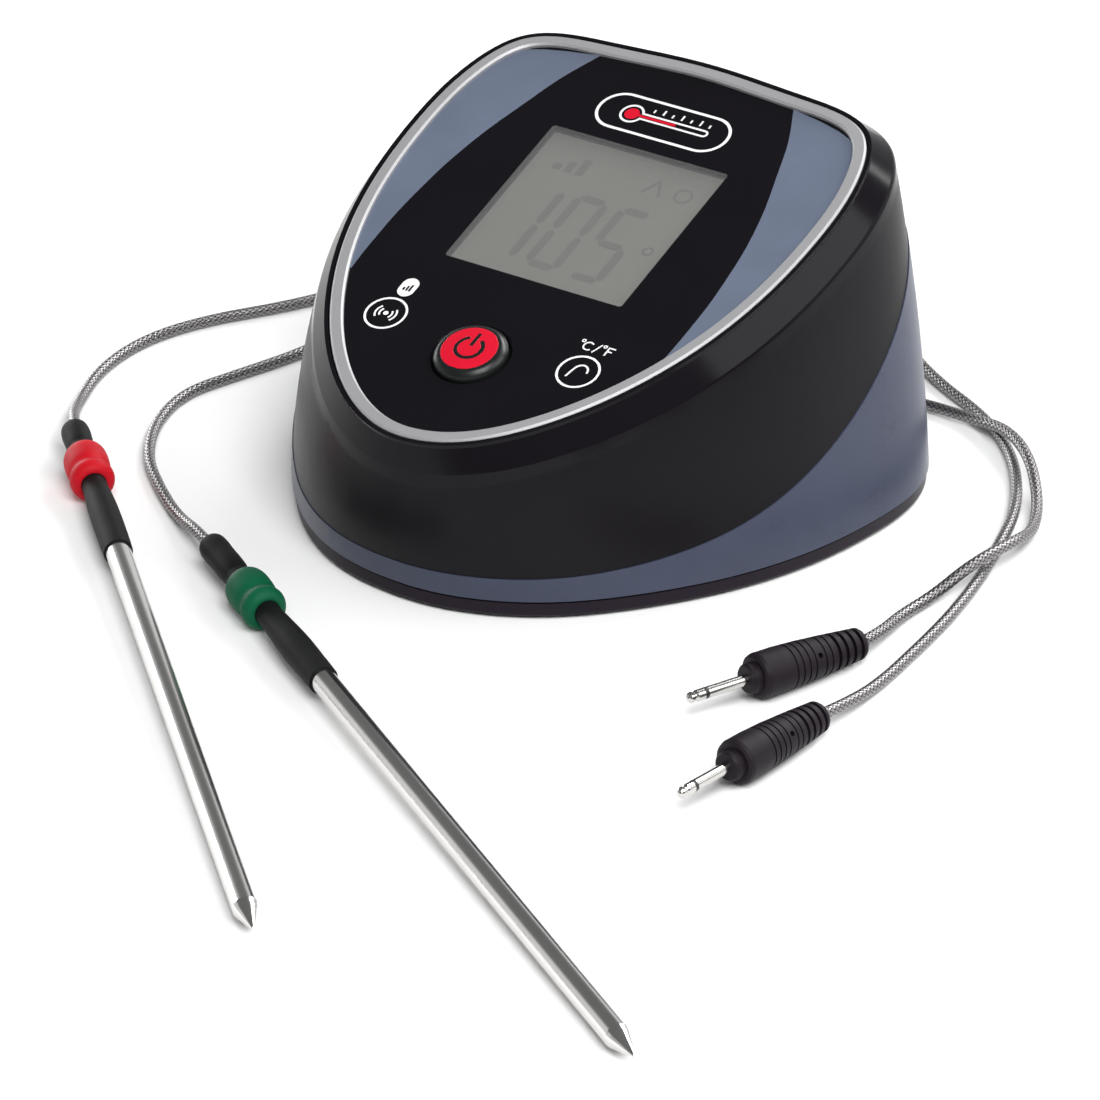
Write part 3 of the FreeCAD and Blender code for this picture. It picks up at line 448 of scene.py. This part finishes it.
def cable_mesh(name, line, radius):
    """A braided tube along the line, closed at both ends, with turns and metres as its UVs."""
    line = even_steps(line, TUBE_STEP)
    mesh = bmesh.new()
    side = (line[1] - line[0]).orthogonal().normalized()
    rings = []
    for k, centre in enumerate(line):
        ahead = (line[min(k + 1, len(line) - 1)] - line[max(k - 1, 0)]).normalized()
        side = (side - ahead * side.dot(ahead)).normalized()
        other = ahead.cross(side)
        ring = []
        for j in range(TUBE_SIDES):
            turn = j / TUBE_SIDES
            depth = WEAVE_DEPTH * (weave_height(turn, k * TUBE_STEP) - 1.0)
            angle = 2 * math.pi * turn
            ring.append(mesh.verts.new(centre + (side * math.cos(angle) + other * math.sin(angle))
                                       * (radius + depth)))
        rings.append(ring)
    uv = mesh.loops.layers.uv.new("cable")
    for k, (low, high) in enumerate(zip(rings, rings[1:])):
        for j in range(TUBE_SIDES):
            n = (j + 1) % TUBE_SIDES
            face = mesh.faces.new((low[j], low[n], high[n], high[j]))
            corners = ((j, k), (j + 1, k), (j + 1, k + 1), (j, k + 1))
            for loop, (a, s) in zip(face.loops, corners):
                loop[uv].uv = (a / TUBE_SIDES, s * TUBE_STEP)
            face.smooth = True
    mesh.faces.new(list(reversed(rings[0])))
    mesh.faces.new(rings[-1])
    data = bpy.data.meshes.new(name)
    mesh.to_mesh(data)
    mesh.free()
    return data, line


def add_lead(colour, spec):
    body = colour + "_probe"
    points = spec["to_coil"] + coil_points(*spec["coil"]) + spec["to_plug"]
    line = route_line(points)
    mesh, path = cable_mesh(colour + "_braided_cable", line, CABLE_D / 2 - 0.00001)
    cable = new_piece(colour + "_braided_cable", mesh, body, BRAID)
    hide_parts(colour + "_cable_probe_end", colour + "_coil", colour + "_cable_plug_end")


for lead_colour, lead_spec in LEADS.items():
    add_lead(lead_colour, lead_spec)


# ---------------------------------------------------------------- print on the face
FACE = Matrix.Translation(FACE_ORIGIN) @ Matrix.Rotation(TILT, 4, "X")
FASCIA_TOP = -0.5
PRINT_RISE = 0.03
PRINT_LOW, PRINT_HIGH = FASCIA_TOP, FASCIA_TOP + PRINT_RISE
TRIM_HALF = [(0, -74.7), (13.2, -71.3), (26.6, -60.8), (38.2, -45.2), (46.5, -27.4), (51.2, -8.9),
             (52.9, 12), (50.8, 32.5), (45, 43.9), (25, 49.1), (0, 50.6)]
TRIM_WIDTH = 3.0
CRESCENT_SPAN = (-44.0, 46.0)  # v of the crescents' ends
CRESCENT_STEPS = 70
TINT_EDGE = [(-39, 39.8), (-31, 40.6), (-22, 40.8), (-14, 40.7), (-5, 40.0), (4, 38.9),
             (15, 36.6), (26, 33.3), (36, 30.1), (45, 26.0), (52, 22.5)]   # (v, u), inner edge


def face_solid(name, loops, low=PRINT_LOW, high=PRINT_HIGH, material=PRINT):
    """Flat pieces on the face: each loop of (u, v) points in mm becomes a thin plate."""
    mesh = bmesh.new()
    for loop in loops:
        bottom = [mesh.verts.new(FACE @ Vector((u * MM, v * MM, low * MM))) for u, v in loop]
        top = [mesh.verts.new(FACE @ Vector((u * MM, v * MM, high * MM))) for u, v in loop]
        mesh.faces.new(list(reversed(bottom)))
        mesh.faces.new(top)
        for k in range(len(loop)):
            n = (k + 1) % len(loop)
            mesh.faces.new((bottom[k], bottom[n], top[n], top[k]))
    bmesh.ops.recalc_face_normals(mesh, faces=mesh.faces)
    return piece_from(mesh, name, "base_unit", material)


def face_rings(name, bands, low=PRINT_LOW, high=PRINT_HIGH, material=PRINT):
    """Closed bands on the face, each given as its outer and inner points."""
    mesh = bmesh.new()
    for outer, inner in bands:
        rows = []
        for points, height in ((outer, low), (outer, high), (inner, high), (inner, low)):
            rows.append([mesh.verts.new(FACE @ Vector((u * MM, v * MM, height * MM)))
                         for u, v in points])
        for k in range(len(outer)):
            n = (k + 1) % len(outer)
            for a, b in zip(rows, rows[1:] + rows[:1]):
                mesh.faces.new((a[k], a[n], b[n], b[k]))
    bmesh.ops.recalc_face_normals(mesh, faces=mesh.faces)
    return piece_from(mesh, name, "base_unit", material)


def circle(u, v, radius, count=48):
    return [(u + radius * math.cos(2 * math.pi * k / count),
             v + radius * math.sin(2 * math.pi * k / count)) for k in range(count)]


def arc(u, v, radius, start, stop, count=16):
    """Points of an arc, in degrees."""
    angles = [math.radians(start + (stop - start) * k / count) for k in range(count + 1)]
    return [(u + radius * math.cos(a), v + radius * math.sin(a)) for a in angles]


def stroke(points, width):
    """The outline of a line of that width through the points, with round-ish mitred bends."""
    sides = ([], [])
    for k, (u, v) in enumerate(points):
        before = Vector(points[max(k - 1, 0)])
        after = Vector(points[min(k + 1, len(points) - 1)])
        here = Vector((u, v))
        come = (here - before).normalized() if k else (after - here).normalized()
        leave = (after - here).normalized() if k < len(points) - 1 else come
        across = Vector((-(come + leave).y, (come + leave).x)).normalized()
        reach = width / 2 / max(0.5, across.dot(Vector((-come.y, come.x))))
        sides[0].append(tuple(here + across * reach))
        sides[1].append(tuple(here - across * reach))
    return sides[0] + sides[1][::-1]


def smooth_line(points, steps=8):
    """A Catmull-Rom line through the points."""
    ends = [points[0]] + list(points) + [points[-1]]
    line = []
    for p0, p1, p2, p3 in zip(ends, ends[1:], ends[2:], ends[3:]):
        for k in range(steps):
            t = k / steps
            line.append(tuple(0.5 * (2 * b + (c - a) * t + (2 * a - 5 * b + 4 * c - d) * t ** 2
                                     + (3 * b - a - 3 * c + d) * t ** 3)
                              for a, b, c, d in zip(p0, p1, p2, p3)))
    return line + [tuple(points[-1])]


def inwards(line, distance):
    moved = []
    for k, (u, v) in enumerate(line):
        a, b = Vector(line[max(k - 1, 0)]), Vector(line[min(k + 1, len(line) - 1)])
        along = (b - a).normalized()
        moved.append((u - along.y * distance, v + along.x * distance))
    return moved


def at(table, key):
    """Linear reading of a table of (key, value) pairs sorted by key."""
    for (k0, v0), (k1, v1) in zip(table, table[1:]):
        if k0 <= key <= k1:
            return v0 + (v1 - v0) * (key - k0) / max(1e-9, k1 - k0)
    return table[0][1] if key < table[0][0] else table[-1][1]


def crescent(side):
    """The slate print between the fascia's edge and the crescent's inner edge."""
    border = inwards(smooth_line(TRIM_HALF), TRIM_WIDTH - 0.1)
    border = sorted((v, u) for u, v in border if u > 15)
    inner = smooth_line(TINT_EDGE)
    outer_line, inner_line = [], []
    low, high = CRESCENT_SPAN
    for k in range(CRESCENT_STEPS + 1):
        v = low + (high - low) * k / CRESCENT_STEPS
        near, far = at(inner, v), at(border, v)
        if far - near > 0.05:
            outer_line.append((side * far, v))
            inner_line.append((side * near, v))
    return outer_line + inner_line[::-1]


KEY_U, KEY_V = 25.0, -43.1
KEY_RING_R = (4.95, 4.4)      # outside and inside
BUTTON_V = -47.2
for side, name in ((-1, "left_crescent"), (1, "right_crescent")):
    face_solid(name, [crescent(side)], material=TINT)
face_rings("key_rings", [[circle(side * KEY_U, KEY_V, radius) for radius in KEY_RING_R]
                         for side in (-1, 1)])


def key_marks():
    """On the left key a sender with waves either side, on the right one a bent probe."""
    waves = [stroke(arc(-KEY_U, KEY_V, radius, middle - 42, middle + 42, 12), 0.42)
             for radius in (1.5, 2.5) for middle in (0, 180)]
    face_solid("left_key_mark", waves + [circle(-KEY_U, KEY_V, 0.6, 16)])
    probe = [(-1.9, -2.2), (-1.1, 1.2), (0.3, 2.1), (1.6, 1.5), (2.1, 0.2)]
    probe = smooth_line([(KEY_U + u, KEY_V + v) for u, v in probe], 4)
    face_solid("right_key_mark", [stroke(probe, 0.45)])


def units_mark():
    """Degree signs with C and F, and a stroke between."""
    u, v = KEY_U - 4.0, KEY_V + 7.6
    strokes = [stroke(arc(u + 1.9, v, 1.15, 45, 315), 0.38),
               stroke([(u + 3.5, v - 1.4), (u + 4.7, v + 1.4)], 0.34),
               stroke([(u + 6.6, v - 1.3), (u + 6.6, v + 1.15), (u + 8.2, v + 1.15)], 0.38),
               stroke([(u + 6.6, v + 0.05), (u + 7.8, v + 0.05)], 0.38)]
    face_solid("unit_letters", strokes)
    face_rings("unit_degree_rings", [[circle(u + x, v + 1.15, radius, 16)
                                      for radius in (0.5, 0.22)] for x in (0.1, 5.6)])


def capsule(u, v, half_length, radius, upright=False, count=20):
    """The outline of a slot shape lying along u, or standing along v."""
    ends = [(half_length - radius, -90), (radius - half_length, 90)]
    points = [q for x, a in ends for q in arc(x, 0, radius, a, a + 180, count)]
    return [(u - y, v + x) if upright else (u + x, v + y) for x, y in points]


def plate_mark():
    """A capsule outline over the display, round a lying thermometer with a red bulb."""
    u, v = 0.0, 32.0
    face_rings("plate_outline", [(capsule(u, v, 17.0, 5.8), capsule(u, v, 16.3, 5.1))])
    stem = (arc(u - 8.2, v, 2.9, 22, 338, 28) + arc(u + 10.6, v, 1.1, -90, 90, 10))
    bore = (arc(u - 8.2, v, 2.35, 14, 346, 28) + arc(u + 10.6, v, 0.58, -90, 90, 10))
    face_rings("thermometer_outline", [(stem, bore)])
    column = arc(u - 8.2, v, 1.75, 12, 348, 24) + [(u + 3.2, v - 0.36), (u + 3.2, v + 0.36)]
    face_solid("thermometer_bulb", [column], material=SYMBOL_RED)
    ticks = [stroke([(u + x, v + 1.9), (u + x, v + (3.5 if k % 2 else 2.9))], 0.42)
             for k, x in enumerate((-3.6, -1.2, 1.2, 3.6, 6.0, 8.4, 10.8))]
    face_solid("thermometer_ticks", ticks)


def wireless_mark():
    """A small white badge over the left key, with three rising bars."""
    u, v = -KEY_U + 0.2, KEY_V + 8.7
    face_solid("badge", [capsule(u, v, 2.9, 2.0, upright=True, count=14)])
    bars = [[(u - 1.0 + 0.75 * k, v - 1.1), (u - 0.5 + 0.75 * k, v - 1.1),
             (u - 0.5 + 0.75 * k, v - 0.2 + 0.6 * k), (u - 1.0 + 0.75 * k, v - 0.2 + 0.6 * k)]
            for k in range(3)]
    face_solid("badge_bars", bars, PRINT_HIGH, PRINT_HIGH + PRINT_RISE, material=FASCIA)


key_marks()
units_mark()
plate_mark()
wireless_mark()


# ---------------------------------------------------------------- display
LCD_TOP = -2.65
SEGMENT_LOW, SEGMENT_HIGH = LCD_TOP, LCD_TOP + 0.03
DIGIT_W, DIGIT_H, DIGIT_T = 8.9, 24.0, 2.0
DIGIT_GAP = 0.22              # gap between the bars of a figure
FIRST_DIGIT, DIGIT_STEP = (-18.4, -16.8), 11.3
SEGMENTS = {"0": "abcdef", "1": "bc", "5": "afgcd"}


def segment_bars(u, v, which):
    """Bars of one seven-segment figure whose lower left corner is at (u, v)."""
    w, h, t, gap = DIGIT_W, DIGIT_H, DIGIT_T, DIGIT_GAP
    mid = h / 2
    flat_bar = {"a": h - t / 2, "g": mid, "d": t / 2}
    upright = {"f": (t / 2, mid, h), "e": (t / 2, 0, mid), "b": (w - t / 2, mid, h),
               "c": (w - t / 2, 0, mid)}
    bars = []
    for letter in which:
        if letter in flat_bar:
            y = flat_bar[letter]
            x0, x1 = t / 2 + gap, w - t / 2 - gap
            bars.append([(u + x0, v + y), (u + x0 + t / 2, v + y - t / 2),
                         (u + x1 - t / 2, v + y - t / 2), (u + x1, v + y),
                         (u + x1 - t / 2, v + y + t / 2), (u + x0 + t / 2, v + y + t / 2)])
        else:
            x, y0, y1 = upright[letter]
            y0, y1 = y0 + t / 2 * (y0 == 0) + gap, y1 - t / 2 * (y1 == h) - gap
            bars.append([(u + x, v + y0), (u + x + t / 2, v + y0 + t / 2),
                         (u + x + t / 2, v + y1 - t / 2), (u + x, v + y1),
                         (u + x - t / 2, v + y1 - t / 2), (u + x - t / 2, v + y0 + t / 2)])
    return bars


def display_marks():
    bars = []
    u, v = FIRST_DIGIT
    for k, figure in enumerate("105"):
        bars += segment_bars(u + DIGIT_STEP * k, v, SEGMENTS[figure])
    face_solid("display_figures", bars, SEGMENT_LOW, SEGMENT_HIGH,
               material=SEGMENT)
    face_rings("display_degree", [(circle(17.6, -3.4, 1.35, 24), circle(17.6, -3.4, 0.8, 24))],
               SEGMENT_LOW, SEGMENT_HIGH, material=SEGMENT)
    small = []
    for k in range(3):
        u = -17.5 + 3.0 * k
        small.append([(u, 12.0), (u + 2.0, 12.0), (u + 2.0, 14.0 + 1.6 * k), (u, 14.0 + 1.6 * k)])
    small.append(stroke([(6.0, 12.5), (8.2, 17.0), (10.4, 12.5)], 0.8))
    face_solid("display_marks", small, SEGMENT_LOW, SEGMENT_HIGH,
               material=SEGMENT)
    face_rings("display_clock", [(circle(15.6, 14.6, 2.3, 24), circle(15.6, 14.6, 1.7, 24))],
               SEGMENT_LOW, SEGMENT_HIGH, material=SEGMENT)


display_marks()

# ---------------------------------------------------------------- power button
BUTTON_R = 8.3
CROWN = 1.6                   # top of the cap over the face
FLANGE_R, FLANGE_TOP, FLANGE_FOOT = 9.6, -2.75, -3.9
STUD_R, STUD_FOOT = 2.0, -5.45
DISC_STEP = 0.14              # grid of the printed disc


def crown_height(radius):
    """Height of the button's smooth crown at a distance from its middle."""
    ratio = min(1.0, radius / BUTTON_R)
    return CROWN - 0.45 * ratio ** 2 - 1.15 * max(0.0, ratio - 0.8) ** 2 / 0.04


def turned_piece(name, profile, centre_v, body, material, count=72):
    """A solid of revolution about the face's normal; profile is (radius, height) in mm."""
    mesh = bmesh.new()
    rows = []
    for radius, height in profile:
        if radius < 1e-6:
            rows.append([mesh.verts.new(FACE @ Vector((0, centre_v * MM, height * MM)))])
            continue
        rows.append([mesh.verts.new(FACE @ Vector((radius * MM * math.cos(2 * math.pi * k / count),
                                                   centre_v * MM + radius * MM
                                                   * math.sin(2 * math.pi * k / count),
                                                   height * MM))) for k in range(count)])
    for a, b in zip(rows, rows[1:]):
        for k in range(count):
            n = (k + 1) % count
            corners = [a[k % len(a)], a[n % len(a)], b[n % len(b)], b[k % len(b)]]
            face = mesh.faces.new(list(dict.fromkeys(corners)))
            face.smooth = True
    bmesh.ops.recalc_face_normals(mesh, faces=mesh.faces)
    return piece_from(mesh, name, body, material)


def button_cap():
    top = [(BUTTON_R * k / 24, crown_height(BUTTON_R * k / 24)) for k in range(25)]
    profile = top + [(BUTTON_R, -1.2), (BUTTON_R, FLANGE_TOP), (FLANGE_R, FLANGE_TOP),
                     (FLANGE_R, FLANGE_FOOT), (STUD_R, FLANGE_FOOT), (STUD_R, STUD_FOOT),
                     (0, STUD_FOOT)]
    cap = turned_piece("button_cap", profile, BUTTON_V, "power_button", BUTTON)
    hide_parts("power_button")


def crown_plate(name, outer, inner_holes, material, rise):
    """A thin printed shape that follows the button's crown: grid cells inside a test."""
    mesh = bmesh.new()
    step, reach = DISC_STEP, 7.4
    count = int(2 * reach / step)
    grid = {}

    def vert(i, j, lift):
        key = (i, j, lift)
        if key not in grid:
            u, v = -reach + i * step, -reach + j * step
            grid[key] = mesh.verts.new(FACE @ Vector((u * MM, (BUTTON_V + v) * MM,
                                                      (crown_height(math.hypot(u, v)) + lift)
                                                      * MM)))
        return grid[key]

    inside = {(i, j) for i in range(count) for j in range(count)
              if outer(-reach + (i + 0.5) * step, -reach + (j + 0.5) * step)
              and not inner_holes(-reach + (i + 0.5) * step, -reach + (j + 0.5) * step)}
    for i, j in inside:
        corners = ((i, j), (i + 1, j), (i + 1, j + 1), (i, j + 1))
        face = mesh.faces.new([vert(a, b, rise) for a, b in corners])
        face.smooth = True
        mesh.faces.new([vert(a, b, -0.05) for a, b in reversed(corners)])
        for (a, b), neighbour in zip(zip(corners, corners[1:] + corners[:1]),
                                     ((i, j - 1), (i + 1, j), (i, j + 1), (i - 1, j))):
            if neighbour not in inside:
                mesh.faces.new((vert(*a, -0.05), vert(*b, -0.05), vert(*b, rise),
                                vert(*a, rise)))
    return piece_from(mesh, name, "power_button", material)


def power_symbol(u, v):
    """True inside the dark open ring and bar of the power symbol."""
    radius, angle = math.hypot(u, v), math.degrees(math.atan2(v, u))
    in_ring = 2.6 < radius < 3.5 and not 62 < angle < 118
    in_bar = abs(u) < 0.45 and 0.6 < v < 4.6
    return in_ring or in_bar


button_cap()
crown_plate("button_disc", lambda u, v: math.hypot(u, v) < 6.35, power_symbol, SYMBOL_RED,
            0.03)

# ---------------------------------------------------------------- studio
FLOOR_HALF, FLOOR_Z = 6.0, -0.0002


def add_floor():
    mesh = bpy.data.meshes.new("floor")
    corners = [(x * FLOOR_HALF, y * FLOOR_HALF, FLOOR_Z)
               for x, y in ((-1, -1), (1, -1), (1, 1), (-1, 1))]
    mesh.from_pydata(corners, [], [(0, 1, 2, 3)])
    floor = bpy.data.objects.new("floor", mesh)
    bpy.context.scene.collection.objects.link(floor)
    shader = Shader("floor", (0.86, 0.86, 0.86), 0.9, specular=0.1)
    shader.tint(shader.noise(3.0), 0.01)
    mesh.materials.append(shader.material)


def add_light(name, at_point, size, power, aim=(0, 0, 0.03)):
    data = bpy.data.lights.new(name, "AREA")
    data.shape = "RECTANGLE"
    data.size, data.size_y = size
    data.energy = power
    light = bpy.data.objects.new(name, data)
    light.location = at_point
    light.rotation_euler = (Vector(at_point) - Vector(aim)).to_track_quat("Z", "Y").to_euler()
    bpy.context.scene.collection.objects.link(light)


def add_world():
    """A studio with a pale wall behind and to the left, and darkness in front and overhead."""
    world = bpy.data.worlds.new("studio")
    bpy.context.scene.world = world
    world.use_nodes = True
    tree = world.node_tree
    direction = tree.nodes.new("ShaderNodeTexCoord").outputs["Generated"]
    split = tree.nodes.new("ShaderNodeSeparateXYZ")
    tree.links.new(direction, split.inputs["Vector"])
    behind = tree.nodes.new("ShaderNodeVectorMath")
    behind.operation = "DOT_PRODUCT"
    behind.inputs[1].default_value = (-0.55, 0.83, 0.0)
    tree.links.new(direction, behind.inputs[0])
    shares = []
    for source, span in ((split.outputs["Z"], (0.32, 0.50, 1.0, 0.0)),
                         (behind.outputs["Value"], (-0.55, 0.05, 0.0, 1.0))):
        share = tree.nodes.new("ShaderNodeMapRange")
        share.interpolation_type = "SMOOTHSTEP"
        for socket, value in zip(share.inputs[1:5], span):
            socket.default_value = value
        tree.links.new(source, share.inputs["Value"])
        shares.append(share.outputs["Result"])
    lit = tree.nodes.new("ShaderNodeMath")
    lit.operation = "MULTIPLY"
    tree.links.new(shares[0], lit.inputs[0])
    tree.links.new(shares[1], lit.inputs[1])
    strength = tree.nodes.new("ShaderNodeMath")
    strength.operation = "MULTIPLY_ADD"
    strength.inputs[1].default_value = WALL_LIGHT - ROOM_LIGHT
    strength.inputs[2].default_value = ROOM_LIGHT
    tree.links.new(lit.outputs[0], strength.inputs[0])
    background = tree.nodes["Background"]
    background.inputs["Color"].default_value = (1.0, 1.0, 1.0, 1.0)
    tree.links.new(strength.outputs[0], background.inputs["Strength"])


ROOM_LIGHT, WALL_LIGHT = 0.16, 0.75
add_floor()
add_world()
add_light("key", (0.9, -0.9, 1.6), (1.2, 1.2), 45)
add_light("back", (0.3, 1.9, 1.5), (1.6, 0.9), 40)
add_light("left_card", (-1.25, 0.45, 0.16), (0.9, 0.42), 8)
add_light("right_card", (1.30, 0.40, 1.08), (1.3, 0.9), 11)
bpy.context.scene.view_settings.view_transform = "Standard"
